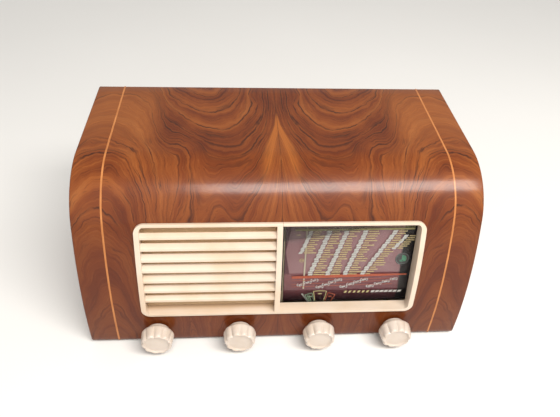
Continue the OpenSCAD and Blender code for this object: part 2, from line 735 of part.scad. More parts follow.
module tuning_bearing() color("gray") in_frame() {
  translate([knob_x[3], 0, 0]) difference() {
    union() {
      translate([0, 0, knob_z]) rod(4.8, ch_y[0] - 0.4, ch_y[0] + 4);
      translate([0, 0, knob_z]) rod(8, ch_y[0] + sheet, ch_y[0] + 3);
      box([-8, 8], [ch_y[0] + 38, ch_y[0] + 40], [ch_z[0] + 1.5, ch_z[1] - sheet]);
    }
    translate([0, 0, knob_z]) rod(shaft_r + axle_fit, ch_y[0] - 10, ch_y[0] + 50);
  }
}

// Knob that widens towards the back, with lobes that fade out there, a plain collar and a dished face
notch_tilt = 13;
notch_r = 2.6;
knob_body = 15.4;

module knob(k) in_frame() translate([knob_x[k], -knob_out, knob_z]) rotate([-90, 0, 0]) difference() {
  rotate_extrude() polygon([
    [0, 1.9], [knob_r - 5.4, 1.9], [knob_r - 4.5, 0.2], [knob_r - 4, 0], [knob_r - 2.6, 0],
    [knob_r - 1.8, 0.9], [knob_r - 1.4, 2.2], [knob_r, 11.5], [knob_r - 0.3, 13],
    [knob_r - 1.6, 14.6], [knob_r - 6, knob_body], [knob_r - 6, 20.2], [0, 20.2]
  ]);
  for (lobe = [0:knob_lobes - 1]) rotate([0, 0, 90 - knob_turn[k] + lobe * 360 / knob_lobes])
    translate([knob_r - 0.9, 0, -1]) rotate([0, notch_tilt, 0]) cylinder(r = notch_r, h = knob_body + 2);
  translate([0, 0, 4]) cylinder(r = shaft_r + snug, h = 30);
}

module knob_volume() color("ivory") knob(0);

module knob_tone() color("ivory") knob(1);

module knob_band() color("ivory") knob(2);

module knob_tuning() color("ivory") knob(3);

// Rear connections
socket_x = [-20, -6, 36, 50];
socket_z = 32;
socket_r = 2.05;

module socket_strip() color("saddlebrown") in_frame() difference() {
  union() {
    inward(ch_y[1], ch_y[1] + 4) rounded([-38, 68], [22, 42], 3);
    for (x = socket_x) translate([x, 0, socket_z]) rod(4, ch_y[1] - 8, ch_y[1] + 6);
  }
  for (x = socket_x) translate([x, 0, socket_z]) rod(socket_r, ch_y[1] - 9, ch_y[1] + 7);
  for (x = [-33, 63]) translate([x, 0, socket_z]) rod(1.6, ch_y[1] - 1, ch_y[1] + 5);
}

gland_r = 3.6;

module mains_gland() color("black") in_frame() translate([-150, 0, 32]) rotate([-90, 0, 0])
  rotate_extrude() polygon([
    [gland_r, cab_d - 10], [10, cab_d - 10], [10, cab_d - 8.1], [6.8, cab_d - 8.1], [6.8, cab_d - 4.9],
    [10, cab_d - 4.9], [8.6, cab_d - 2.4], [gland_r, cab_d - 2.4]
  ]);

cabinet_shell();
side_panel_left();
side_panel_right();
base_board();
inlay_lines();
back_battens();
rubber_feet();
foot_screws();
rear_cover();
rear_cover_screws();
mounting_blocks();
front_moulding();
grille_cloth();
baffle_board();
panel_screws();
speaker_basket();
speaker_magnet();
speaker_cone();
speaker_dust_cap();
speaker_screws();
dial_glass();
dial_frame();
dial_lamps();
dial_pointer();
pointer_carriage();
pointer_rail();
band_needle();
magic_eye();
chassis();
chassis_bolts();
valve_sockets();
rectifier_valve();
output_valve();
detector_valve();
if_valve();
mixer_valve();
if_cans();
mains_transformer();
output_transformer();
smoothing_capacitor();
tuning_stator();
tuning_rotor();
drive_drum();
cord_pulley_left();
cord_pulley_right();
drive_cord();
tuning_shaft();
tuning_bearing();
volume_control();
tone_control();
band_switch();
volume_shaft();
tone_shaft();
band_shaft();
knob_volume();
knob_tone();
knob_band();
knob_tuning();
socket_strip();
mains_gland();
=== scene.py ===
"""Table radio with a bent walnut cabinet: the visual model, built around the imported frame.

Metres, +Z up, the front faces -Y. Sizes named in millimetres are turned into metres by MM.
"""

import json
import math
import random

import bmesh
import bpy
from mathutils import Matrix, Vector


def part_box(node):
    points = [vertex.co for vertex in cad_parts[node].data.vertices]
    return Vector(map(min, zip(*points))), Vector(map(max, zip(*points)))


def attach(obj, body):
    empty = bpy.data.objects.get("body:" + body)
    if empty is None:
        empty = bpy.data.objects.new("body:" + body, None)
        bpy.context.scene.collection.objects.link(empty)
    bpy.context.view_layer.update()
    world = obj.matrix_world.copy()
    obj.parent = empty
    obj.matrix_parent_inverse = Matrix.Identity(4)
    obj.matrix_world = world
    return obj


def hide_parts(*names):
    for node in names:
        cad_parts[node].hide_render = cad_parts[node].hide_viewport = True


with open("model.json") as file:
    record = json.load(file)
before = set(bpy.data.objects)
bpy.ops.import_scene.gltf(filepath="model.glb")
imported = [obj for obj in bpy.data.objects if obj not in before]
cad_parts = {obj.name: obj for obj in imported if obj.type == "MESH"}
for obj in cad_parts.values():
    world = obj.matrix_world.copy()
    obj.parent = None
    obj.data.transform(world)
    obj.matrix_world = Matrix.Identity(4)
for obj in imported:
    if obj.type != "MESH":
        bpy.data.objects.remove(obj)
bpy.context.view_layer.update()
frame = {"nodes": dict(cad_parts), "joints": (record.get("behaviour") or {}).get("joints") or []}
nodes = frame["nodes"]
random.seed(7)

MM = 0.001

# ---------------------------------------------------------------- sizes, in millimetres
CAB_W, CAB_D, CAB_H = 420, 219, 202
SHELL_T = 7
SHOULDER_R, FRONT_R, LEAN = 67.5, 443, math.radians(19.7)
INLAY_X, INLAY_W, INLAY_T = 179.3, 2, 0.8
TRIM_X, OPEN_W = 0.7, 288.8
TUBE_S = (-58.1, 56.8)
KNOB_X, KNOB_Z, KNOB_OUT = (-133.5, -43, 46, 133.5), 20, 22
KNOB_TURN = (7, -2, -7, 4)
LOBES = 10
KNOB_BORE_R, KNOB_BORE_T = 3.05, 4.0
GLASS_BACK = 11.5
CARD_X, CARD_TOP, CARD_STEP = (6, 149), 58, -40

# Where cabinet coordinates (y = 0 at the front, z = 0 at the underside) sit in the frame
cab_low, cab_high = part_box("cabinet_shell")
CAB_Y = cab_high.y - CAB_D * MM
CAB_Z = cab_low.z

# The dial's plane: the direction into the cabinet, and the direction up along the glass
cone = next(j for j in frame["joints"] if j["name"] == "cone_travel")
DIAL_IN = Vector(cone["axis"]).normalized()
DIAL_UP = Vector((0, -DIAL_IN.z, DIAL_IN.y))
glass_low, glass_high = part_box("dial_glass")
DIAL_ORIGIN = (glass_low + glass_high) / 2 - DIAL_IN * 10.275 * MM - DIAL_UP * 0.25 * MM
DIAL_ORIGIN.x = 0


def cab(x, y, z):
    """A point given in cabinet millimetres."""
    return Vector((x * MM, CAB_Y + y * MM, CAB_Z + z * MM))


def dial(x, depth, s):
    """A point given in millimetres across, into and up along the dial's plane."""
    return DIAL_ORIGIN + Vector((x * MM, 0, 0)) + DIAL_IN * depth * MM + DIAL_UP * s * MM


# ---------------------------------------------------------------- node materials
class Shader:
    """A material with short calls for the nodes it is made of."""

    def __init__(self, name, **values):
        self.material = bpy.data.materials.new(name)
        self.material.use_nodes = True
        self.tree = self.material.node_tree
        self.bsdf = self.tree.nodes["Principled BSDF"]
        for key, value in values.items():
            self.bsdf.inputs[key.replace("_", " ")].default_value = value

    def node(self, kind, inputs=(), **settings):
        made = self.tree.nodes.new("ShaderNode" + kind)
        for key, value in settings.items():
            setattr(made, key, value)
        for key, value in dict(inputs).items():
            if isinstance(value, bpy.types.NodeSocket):
                self.tree.links.new(value, made.inputs[key])
            elif value is not None:
                made.inputs[key].default_value = value
        return made

    def feed(self, socket, value):
        self.tree.links.new(value, self.bsdf.inputs[socket])

    def math(self, operation, a, b=None, c=None, clamp=False):
        return self.node("Math", {0: a, 1: b, 2: c}, operation=operation, use_clamp=clamp).outputs[0]

    def add(self, a, b):
        return self.math("ADD", a, b)

    def sub(self, a, b):
        return self.math("SUBTRACT", a, b)

    def mul(self, a, b):
        return self.math("MULTIPLY", a, b)

    def split(self, vector):
        return self.node("SeparateXYZ", {0: vector}).outputs

    def join(self, x, y, z=0.0):
        return self.node("CombineXYZ", {0: x, 1: y, 2: z}).outputs[0]

    def place(self, scale=(1000, 1000, 1000)):
        """Object coordinates in millimetres, or scaled further along each axis."""
        where = self.node("TexCoord").outputs["Object"]
        return self.node("VectorMath", {0: where, 1: scale}, operation="MULTIPLY").outputs[0]

    def attribute(self, name):
        return self.node("Attribute", attribute_name=name).outputs

    def noise(self, where, scale=1.0, detail=2.0, rough=0.5, colour=False):
        made = self.node("TexNoise", {"Vector": where, "Scale": scale, "Detail": detail, "Roughness": rough})
        return made.outputs["Color" if colour else "Fac"]

    def step(self, value, low, high, to_low=0.0, to_high=1.0):
        """A smooth step from one value to another."""
        made = self.node(
            "MapRange",
            {"Value": value, "From Min": low, "From Max": high, "To Min": to_low, "To Max": to_high},
            interpolation_type="SMOOTHSTEP",
        )
        return made.outputs[0]

    def ramp(self, value, *stops):
        made = self.node("ValToRGB", {0: value})
        ramp = made.color_ramp
        while len(ramp.elements) < len(stops):
            ramp.elements.new(0.5)
        for element, (at, colour) in zip(ramp.elements, stops):
            element.position = at
            element.color = (*colour, 1)
        return made.outputs[0]

    def mix(self, share, a, b, blend="MIX"):
        made = self.node("Mix", data_type="RGBA", blend_type=blend)
        for key, value in ((0, share), (6, a), (7, b)):
            if isinstance(value, bpy.types.NodeSocket):
                self.tree.links.new(value, made.inputs[key])
            else:
                made.inputs[key].default_value = value if key == 0 else (*value, 1)
        return made.outputs[2]

    def blend(self, share, a, b):
        """A number between two others."""
        return self.node("Mix", {0: share, 2: a, 3: b}, data_type="FLOAT").outputs[0]

    def bump(self, height, depth_mm, strength=1.0):
        made = self.node("Bump", {"Height": height, "Distance": depth_mm * MM, "Strength": strength})
        self.feed("Normal", made.outputs[0])


# Colours are linear
DARK_VEIN = (0.022, 0.007, 0.004)
DEEP = (0.085, 0.016, 0.004)
MID = (0.160, 0.037, 0.007)
WARM = (0.228, 0.062, 0.012)
LIGHT = (0.315, 0.112, 0.029)
HEART = (0.40, 0.125, 0.022)

VARNISH = {"Coat_Weight": 0.36, "Coat_Roughness": 0.18, "Specular_IOR_Level": 0.1}


def walnut_surface(m, line, along, u, v, plain):
    """Colour, pores and varnish of veneer whose growth lines follow the number line."""
    bands = m.noise(m.join(m.mul(line, 0.45), 3.7), detail=5, rough=0.6)
    patch = m.noise(m.join(m.mul(u, 0.021), m.mul(v, 0.013), 5.1), detail=3)
    tone = m.add(m.mul(bands, 0.78), m.mul(patch, 0.30))
    wood = m.ramp(tone, (0.38, DEEP), (0.49, MID), (0.60, WARM), (0.80, LIGHT))
    # Dark veins where slow noises along the growth lines cross their middle
    fading = m.step(m.noise(m.join(m.mul(u, 0.03), m.mul(v, 0.02), 1.7), detail=3), 0.32, 0.56)
    for scale, seed, width, strength in ((0.55, 9.3, 0.020, 0.80), (1.7, 2.6, 0.026, 0.48)):
        crossing = m.noise(m.join(m.mul(line, scale), m.mul(along, 0.004), seed), detail=3, rough=0.55)
        vein = m.step(m.math("ABSOLUTE", m.sub(crossing, 0.5)), 0.0, width, 1.0, 0.0)
        shown = m.mul(fading, m.sub(strength, m.mul(plain, strength * 0.8)))
        wood = m.mix(m.mul(vein, shown), wood, DARK_VEIN)
    # Fine fibres that run with the lines
    fibre = m.noise(m.join(m.mul(line, 3.8), m.mul(along, 0.03), 2.0), detail=6, rough=0.7)
    wood = m.mix(m.step(fibre, 0.3, 0.72, 0.42, 0.0), wood, DEEP)
    wood = m.mix(m.step(fibre, 0.50, 0.80, 0.0, 0.34), wood, LIGHT)
    pores = m.noise(m.join(m.mul(line, 16.0), m.mul(along, 0.16), 4.0), detail=2, rough=0.6)
    pore = m.step(pores, 0.60, 0.70)
    wood = m.mix(m.mul(pore, 0.45), wood, DARK_VEIN)
    m.feed("Base Color", wood)
    m.feed("Roughness", m.add(m.mul(fibre, 0.16), 0.34))
    uneven = m.noise(m.join(m.mul(u, 0.11), m.mul(v, 0.11), 8.0), detail=2)
    grit = m.noise(m.join(m.mul(u, 0.9), m.mul(v, 0.9), 3.0), detail=2)
    m.bump(m.add(m.add(m.mul(uneven, 1.0), m.mul(grit, 0.12)), m.mul(pore, -0.09)), 0.16)


def book_matched_walnut():
    """Veneer laid in two mirrored halves: rings at the back edge, a spire at the seam, arches at the inlay."""
    m = Shader("walnut_veneer", **VARNISH)
    place = m.node("VectorMath", {0: m.attribute("grain")["Vector"], 1: (1000, 1000, 1000)}, operation="MULTIPLY")
    x, v0, depth = m.split(place.outputs[0])
    u0 = m.math("ABSOLUTE", x)
    u, v = u0, v0
    steady = m.step(u0, 0, 34, 0.12, 1.0)
    # Waviness of the lines, from broad to fine: (size across, size along, seed, reach across, reach along)
    waves = ((0.022, 0.017, 0.5, 20, 24), (0.07, 0.045, 6.5, 6, 9), (0.22, 0.14, 3.1, 1.6, 2.6))
    for fu, fv, seed, reach_u, reach_v in waves:
        sway = m.split(m.noise(m.join(m.mul(u0, fu), m.mul(v0, fv), seed), detail=2, colour=True))
        u = m.add(u, m.mul(m.mul(m.sub(sway[0], 0.5), reach_u), steady))
        v = m.add(v, m.mul(m.sub(sway[1], 0.5), reach_v))

    def square(value, centre, size):
        return m.math("POWER", m.math("ABSOLUTE", m.mul(m.sub(value, centre), 1 / size)), 2.0)

    axis = m.sub(88, m.mul(m.math("MAXIMUM", v, 0.0), 0.25))
    across = m.math("POWER", m.math("ABSOLUTE", m.mul(m.sub(u, axis), 1 / 74)), 2.0)
    back = m.math("POWER", m.math("ABSOLUTE", m.mul(v, 1 / 122)), 1.2)
    rings = m.mul(m.math("SQRT", m.add(across, back)), 13)
    fall = m.add(v, m.mul(m.math("EXPONENT", m.mul(u, -1 / 20)), 135))
    spire = m.sub(m.mul(fall, 1 / 12), 2)
    upright = m.add(m.mul(u, 1 / 7), 3)
    # Arches about the inlay, which grow narrower towards the foot
    width = m.math("MAXIMUM", m.sub(39, m.mul(m.math("MAXIMUM", m.sub(v, 150), 0.0), 0.2)), 13)
    arch = m.sub(v, m.math("DIVIDE", m.math("POWER", m.math("ABSOLUTE", m.sub(u, 182)), 2.0), width))
    arches = m.add(m.mul(arch, 0.085), 15.2)
    line = m.blend(m.mul(m.step(v, 95, 150), m.step(u, 55, 95)), rings, upright)
    line = m.blend(m.mul(m.step(fall, 174, 182), m.step(u, 45, 75, 1, 0)), line, spire)
    line = m.blend(m.step(m.add(u, m.mul(v, 0.12)), 118, 152), line, arches)
    plain = m.mul(m.step(u0, 118, 146), m.step(v0, 85, 128, 1, 0))
    # Quieter wood where the rings give way to the upright lines
    calm = m.math("EXPONENT", m.mul(m.add(square(u0, 64, 28), square(v0, 168, 44)), -1))
    walnut_surface(m, line, v, u0, v0, m.math("MAXIMUM", plain, calm))
    wood = m.bsdf.inputs["Base Color"].links[0].from_socket
    # Darker streaks beside the rings, and lighter wood in the back corners
    streak = m.math("EXPONENT", m.mul(m.add(square(u, 116, 13), square(v, 90, 58)), -1))
    wood = m.mix(m.mul(streak, 0.42), wood, DEEP)
    # The strongest growth lines
    nearest = m.node("Value")
    nearest.outputs[0].default_value = 1
    nearest = nearest.outputs[0]
    for strong in (4.6, 8.3, 10.7, 12.9, 13.9, 16.4, 26.4, 31.8):
        nearest = m.math("MINIMUM", nearest, m.math("ABSOLUTE", m.sub(line, strong)))
    broken = m.step(m.noise(m.join(m.mul(u, 0.05), m.mul(v, 0.03), 12.0), detail=4), 0.35, 0.55, 0.25, 0.9)
    broken = m.mul(broken, m.sub(1.0, m.mul(calm, 0.9)))
    wood = m.mix(m.mul(m.step(nearest, 0.0, 0.17, 1.0, 0.0), broken), wood, DARK_VEIN)
    wood = m.mix(m.mul(plain, 0.2), wood, LIGHT)
    # The bright heart of the spire
    heart = m.mul(m.step(fall, 186, 200), m.mul(m.step(fall, 216, 250, 1, 0), m.step(u0, 6, 26, 0.5, 0)))
    wood = m.mix(heart, wood, HEART)
    # Painted shade: the veneer darker from the lower shoulder down the front
    wood = m.mix(m.step(v0, 175, 250, 0.0, 0.58), wood, DEEP)
    # The seam, and the plies that show on the cut edges below the veneer
    wood = m.mix(m.step(u0, 0.15, 0.5, 0.55, 0.0), wood, DARK_VEIN)
    ply = m.math("FRACT", m.mul(depth, 0.36))
    core = m.mix(m.step(ply, 0.35, 0.6), (0.20, 0.095, 0.036), (0.13, 0.055, 0.020))
    wood = m.mix(m.step(depth, 1.3, 1.6), wood, core)
    m.feed("Base Color", wood)
    return m.material


def side_walnut():
    """Straighter veneer for the end panels, its lines upright."""
    m = Shader("walnut_side", **VARNISH)
    x, y, z = m.split(m.place())
    sway = m.noise(m.join(m.mul(y, 0.012), m.mul(z, 0.006), m.mul(x, 0.002)), detail=3)
    arch = m.math("POWER", m.math("ABSOLUTE", m.mul(m.sub(y, 6), 1 / 46)), 2.0)
    line = m.add(m.mul(m.math("SQRT", m.add(arch, m.mul(m.add(z, 60), 0.004))), 9), m.mul(sway, 3))
    walnut_surface(m, line, z, y, z, m.node("Value").outputs[0])
    return m.material


def boxwood():
    m = Shader("boxwood", **VARNISH)
    x, v, _ = m.split(m.attribute("grain")["Vector"])
    streak = m.noise(m.join(m.mul(x, 900), m.mul(v, 60)), detail=4)
    m.feed("Base Color", m.ramp(streak, (0.3, (0.33, 0.112, 0.030)), (0.7, (0.49, 0.195, 0.062))))
    m.feed("Roughness", m.add(m.mul(streak, 0.2), 0.25))
    m.bump(streak, 0.05)
    return m.material


def plain_wood(name, dark, light, rings_mm):
    """Bare wood or plywood for the hidden parts."""
    m = Shader(name)
    x, y, z = m.split(m.place())
    sway = m.noise(m.join(m.mul(x, 0.008), m.mul(y, 0.03), m.mul(z, 0.03)), detail=4)
    line = m.noise(m.join(m.mul(x, 0.012), m.mul(m.add(y, m.mul(sway, 14)), 1 / rings_mm), m.mul(z, 1 / rings_mm)),
                   detail=5, rough=0.6)
    m.feed("Base Color", m.ramp(line, (0.34, dark), (0.66, light)))
    m.feed("Roughness", m.add(m.mul(line, 0.25), 0.55))
    m.bump(line, 0.25)
    return m.material


def moulded(name, colour, aged, roughness, coat=0.0, stain_mm=45, soft=0.0, seam=False):
    """Moulded plastic: slight yellowing in patches, grime in fine mottling, and a faint orange peel."""
    m = Shader(name, Coat_Weight=coat, Coat_Roughness=0.2, Subsurface_Weight=soft)
    m.bsdf.inputs["Subsurface Radius"].default_value = (0.003, 0.002, 0.001)
    where = m.place()
    patch = m.noise(where, 1 / stain_mm, detail=3)
    fine = m.noise(where, 0.9, detail=3, rough=0.7)
    share = m.add(m.step(patch, 0.38, 0.72, 0.0, 0.75), m.mul(fine, 0.12))
    plastic = m.mix(share, colour, aged)
    if seam:
        # A hairline joint across the top of the rim
        x, _, z = m.split(where)
        joint = m.mul(m.step(m.math("ABSOLUTE", m.sub(x, 1)), 0.1, 0.35, 0.7, 0.0), m.step(z, 158, 159))
        plastic = m.mix(joint, plastic, (0.20, 0.12, 0.06))
        # Dust and yellowing, with painted shade, deeper between the louvres and faintly in the dial's opening
        away = m.node("VectorMath", {0: m.node("TexCoord").outputs["Object"], 1: DIAL_ORIGIN}, operation="SUBTRACT")
        deep = m.node("VectorMath", {0: away.outputs[0], 1: DIAL_IN}, operation="DOT_PRODUCT").outputs["Value"]
        dust_and_shade = m.mul(m.step(deep, 0.0008, 0.0075, 0.0, 0.85), m.step(x, -5, -4, 1.0, 0.1))
        plastic = m.mix(dust_and_shade, plastic, (0.41, 0.27, 0.16))
    m.feed("Base Color", plastic)
    m.feed("Roughness", m.add(m.mul(fine, 0.16), roughness - 0.08))
    m.bump(m.noise(where, 0.35, detail=2), 0.06)
    return m.material


def metal(name, colour, dull, roughness, metallic=1.0, spots=0.5):
    """Plated or painted metal with fine scratches and dull spots."""
    m = Shader(name, Metallic=metallic)
    where = m.place()
    blotch = m.noise(where, 0.09, detail=5, rough=0.65)
    scratch = m.noise(m.place((1600, 90, 1600)), 1.0, detail=4)
    m.feed("Base Color", m.mix(m.step(blotch, spots - 0.1, spots + 0.2), colour, dull))
    m.feed("Roughness", m.add(m.mul(scratch, 0.22), m.mul(m.add(blotch, roughness * 2 - 1), 0.5)))
    m.bump(scratch, 0.03)
    return m.material


def fibre_board(name, dark, light, grain_mm, roughness=0.8, depth=0.2):
    """Pressed board, felted paper, phenolic or rubber: specks in two sizes."""
    m = Shader(name)
    where = m.place()
    speck = m.noise(where, 1 / grain_mm, detail=6, rough=0.75)
    cloud = m.noise(where, 0.03, detail=3)
    m.feed("Base Color", m.mix(m.add(m.mul(speck, 0.7), m.mul(cloud, 0.3)), dark, light))
    m.feed("Roughness", m.add(m.mul(speck, 0.2), roughness - 0.1))
    m.bump(speck, depth)
    return m.material


def woven(name, dark, light, pitch_mm, axes=(0, 2)):
    """Plain weave: warp and weft threads that pass over and under each other."""
    m = Shader(name, Sheen_Weight=0.2)
    parts = m.split(m.place())
    wobble = m.noise(m.place(), 0.12, detail=2)
    a = m.mul(m.add(parts[axes[0]], m.mul(wobble, 0.9)), math.pi / pitch_mm)
    b = m.mul(m.add(parts[axes[1]], m.mul(wobble, 0.7)), math.pi / pitch_mm)
    warp = m.math("ABSOLUTE", m.math("SINE", a))
    weft = m.math("ABSOLUTE", m.math("SINE", b))
    over = m.step(m.mul(m.math("SINE", a), m.math("SINE", b)), -0.2, 0.2)
    height = m.blend(over, warp, weft)
    thread = m.noise(m.place((2500, 2500, 2500)), 1.0, detail=3)
    m.feed("Base Color", m.mix(m.mul(height, m.add(m.mul(thread, 0.5), 0.7)), dark, light))
    m.feed("Roughness", m.add(m.mul(thread, 0.15), 0.75))
    m.bump(height, 0.25)
    return m.material


def clear_glass(name, tint, mirror=0.01):
    """Thin glass: light passes straight through, and more is mirrored at a flat angle."""
    m = Shader(name, Roughness=0.04, IOR=1.5)
    dust = m.noise(m.place(), 0.05, detail=4)
    m.feed("Base Color", m.ramp(dust, (0.3, (0.02, 0.02, 0.02)), (0.8, (0.10, 0.10, 0.10))))
    clear = m.node("BsdfTransparent", {0: (*tint, 1)})
    facing = m.node("Fresnel", {"IOR": 1.5}).outputs[0]
    share = m.add(m.mul(facing, 0.7), m.mul(dust, mirror))
    mixed = m.node("MixShader", {0: share, 1: clear.outputs[0], 2: m.bsdf.outputs[0]})
    m.tree.links.new(mixed.outputs[0], m.tree.nodes["Material Output"].inputs[0])
    return m.material


def printed(name, roughness=0.35, coat=0.0):
    """Ink in the colours stored on the faces, thinner in places."""
    m = Shader(name, Coat_Weight=coat, Coat_Roughness=0.04)
    ink = m.attribute("ink")["Color"]
    worn = m.noise(m.place(), 0.8, detail=4)
    m.feed("Base Color", m.mix(m.step(worn, 0.4, 0.8, 0.0, 0.15), ink, (0.12, 0.05, 0.05)))
    m.feed("Roughness", m.add(m.mul(worn, 0.2), roughness))
    return m.material


# ---------------------------------------------------------------- mesh helpers
def new_object(name, mesh, material, body, *replaced, smooth=30):
    piece = bpy.data.objects.new(name, mesh)
    bpy.context.scene.collection.objects.link(piece)
    mesh.materials.clear()
    mesh.materials.append(material)
    if smooth:
        mesh.shade_smooth()
        mesh.set_sharp_from_angle(angle=math.radians(smooth))
    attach(piece, body)
    if replaced:
        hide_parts(*replaced)
    return piece


def mesh_from(name, points, faces):
    mesh = bpy.data.meshes.new(name)
    mesh.from_pydata([tuple(p) for p in points], [], faces)
    solid = bmesh.new()
    solid.from_mesh(mesh)
    bmesh.ops.remove_doubles(solid, verts=solid.verts, dist=1e-6)
    bmesh.ops.recalc_face_normals(solid, faces=solid.faces)
    solid.to_mesh(mesh)
    solid.free()
    return mesh


def loft(name, rings):
    """A closed solid through rings of points, each ring a closed loop of the same length."""
    count = len(rings[0])
    points = [p for ring in rings for p in ring]
    faces = []
    for k in range(len(rings) - 1):
        for i in range(count):
            j = (i + 1) % count
            faces.append([k * count + i, k * count + j, (k + 1) * count + j, (k + 1) * count + i])
    last = (len(rings) - 1) * count
    faces += [list(range(count)), [last + i for i in reversed(range(count))]]
    return mesh_from(name, points, faces)


def apply_modifiers(piece):
    """Leaves the piece with the mesh that its modifiers give."""
    bpy.context.view_layer.update()
    ready = piece.evaluated_get(bpy.context.evaluated_depsgraph_get())
    mesh = bpy.data.meshes.new_from_object(ready)
    piece.modifiers.clear()
    piece.data = mesh
    return piece


def bevelled_copy(node, material, body, width_mm, segments=2, angle=30):
    """A CAD node's shape with its hard edges rounded, standing for the node."""
    mesh = nodes[node].data.copy()
    solid = bmesh.new()
    solid.from_mesh(mesh)
    bmesh.ops.remove_doubles(solid, verts=solid.verts, dist=2e-6)
    bmesh.ops.dissolve_limit(solid, angle_limit=math.radians(0.6), verts=solid.verts, edges=solid.edges)
    solid.to_mesh(mesh)
    solid.free()
    if mesh.has_custom_normals:
        mesh.attributes.remove(mesh.attributes["custom_normal"])
    piece = new_object(node + "_finished", mesh, material, body, node, smooth=0)
    bevel = piece.modifiers.new("edges", "BEVEL")
    bevel.width = width_mm * MM
    bevel.segments = segments
    bevel.limit_method = "ANGLE"
    bevel.angle_limit = math.radians(angle)
    apply_modifiers(piece)
    piece.data.shade_smooth()
    piece.data.set_sharp_from_angle(angle=math.radians(40))
    return piece


# ---------------------------------------------------------------- cabinet
SHOULDER_Y = FRONT_R - math.cos(LEAN) * (FRONT_R - SHOULDER_R)
SHOULDER_Z = CAB_H - SHOULDER_R
FRONT_CZ = SHOULDER_Z - math.sin(LEAN) * (FRONT_R - SHOULDER_R)
TOP_RUN = CAB_D - SHOULDER_Y
SHOULDER_RUN = SHOULDER_R * (math.pi / 2 - LEAN)
ROUND = 1.6


def outline(inset, trim=0.0, steps=(40, 34)):
    """The cabinet's side line from the back edge over the shoulder to the foot, moved inwards."""
    line = [(CAB_D - trim, CAB_H - inset)]
    for k in range(1, 9):
        line.append((CAB_D - trim - (TOP_RUN - trim) * k / 9, CAB_H - inset))
    for k in range(steps[0] + 1):
        angle = math.pi / 2 + (LEAN - math.pi / 2) * k / steps[0]
        r = SHOULDER_R - inset
        line.append((SHOULDER_Y - r * math.cos(angle), SHOULDER_Z + r * math.sin(angle)))
    r = FRONT_R - inset
    low = math.asin((trim - FRONT_CZ) / r)
    for k in range(1, steps[1] + 1):
        angle = LEAN + (low - LEAN) * k / steps[1]
        line.append((FRONT_R - r * math.cos(angle), FRONT_CZ + r * math.sin(angle)))
    return line


def skin_ring(x, inset, inner, trim=0.0, rounded=ROUND):
    """A loop round the skin's thickness at one place along the cabinet."""
    outer = outline(inset, trim + rounded)
    first, last = outer[0], outer[-1]
    bend = rounded * (1 - math.sqrt(0.5))
    head = [(first[0] + rounded, first[1] - rounded), (first[0] + rounded - bend, first[1] - bend)]
    tail = [(last[0] + bend, last[1] - rounded + bend), (last[0] + rounded, last[1] - rounded)]
    inside = outline(inner, trim)
    return [cab(x, y, z) for y, z in head + outer + tail + inside[::-1]]


def along_skin(y, z):
    """How far along the skin a place is from the back edge, and how deep below the surface."""
    if y >= SHOULDER_Y:
        return CAB_D - y, CAB_H - z
    angle = math.atan2(z - SHOULDER_Z, SHOULDER_Y - y)
    if angle >= LEAN:
        r = math.hypot(z - SHOULDER_Z, SHOULDER_Y - y)
        return TOP_RUN + SHOULDER_R * (math.pi / 2 - angle), SHOULDER_R - r
    angle = math.atan2(z - FRONT_CZ, FRONT_R - y)
    r = math.hypot(z - FRONT_CZ, FRONT_R - y)
    return TOP_RUN + SHOULDER_RUN + FRONT_R * (LEAN - angle), FRONT_R - r


def store_grain(mesh):
    """Stores on each point its place across, along and below the veneer, in metres."""
    grain = mesh.attributes.new("grain", "FLOAT_VECTOR", "POINT")
    for point, store in zip(mesh.vertices, grain.data):
        run, depth = along_skin((point.co.y - CAB_Y) / MM, (point.co.z - CAB_Z) / MM)
        store.vector = (point.co.x, run * MM, depth * MM)


def cut(piece, *cutters):
    for cutter in cutters:
        boolean = piece.modifiers.new("cut", "BOOLEAN")
        boolean.object = cutter
        boolean.solver = "EXACT"
    apply_modifiers(piece)
    for cutter in cutters:
        bpy.data.objects.remove(cutter)


def cutter_object(name, mesh):
    made = bpy.data.objects.new(name, mesh)
    bpy.context.scene.collection.objects.link(made)
    return made


def rounded_rectangle(x0, x1, s0, s1, r, steps=8):
    points = []
    for cx, cs, start in ((x1 - r, s1 - r, 0), (x0 + r, s1 - r, 90), (x0 + r, s0 + r, 180), (x1 - r, s0 + r, 270)):
        for k in range(steps + 1):
            a = math.radians(start + 90 * k / steps)
            points.append((cx + r * math.cos(a), cs + r * math.sin(a)))
    return points


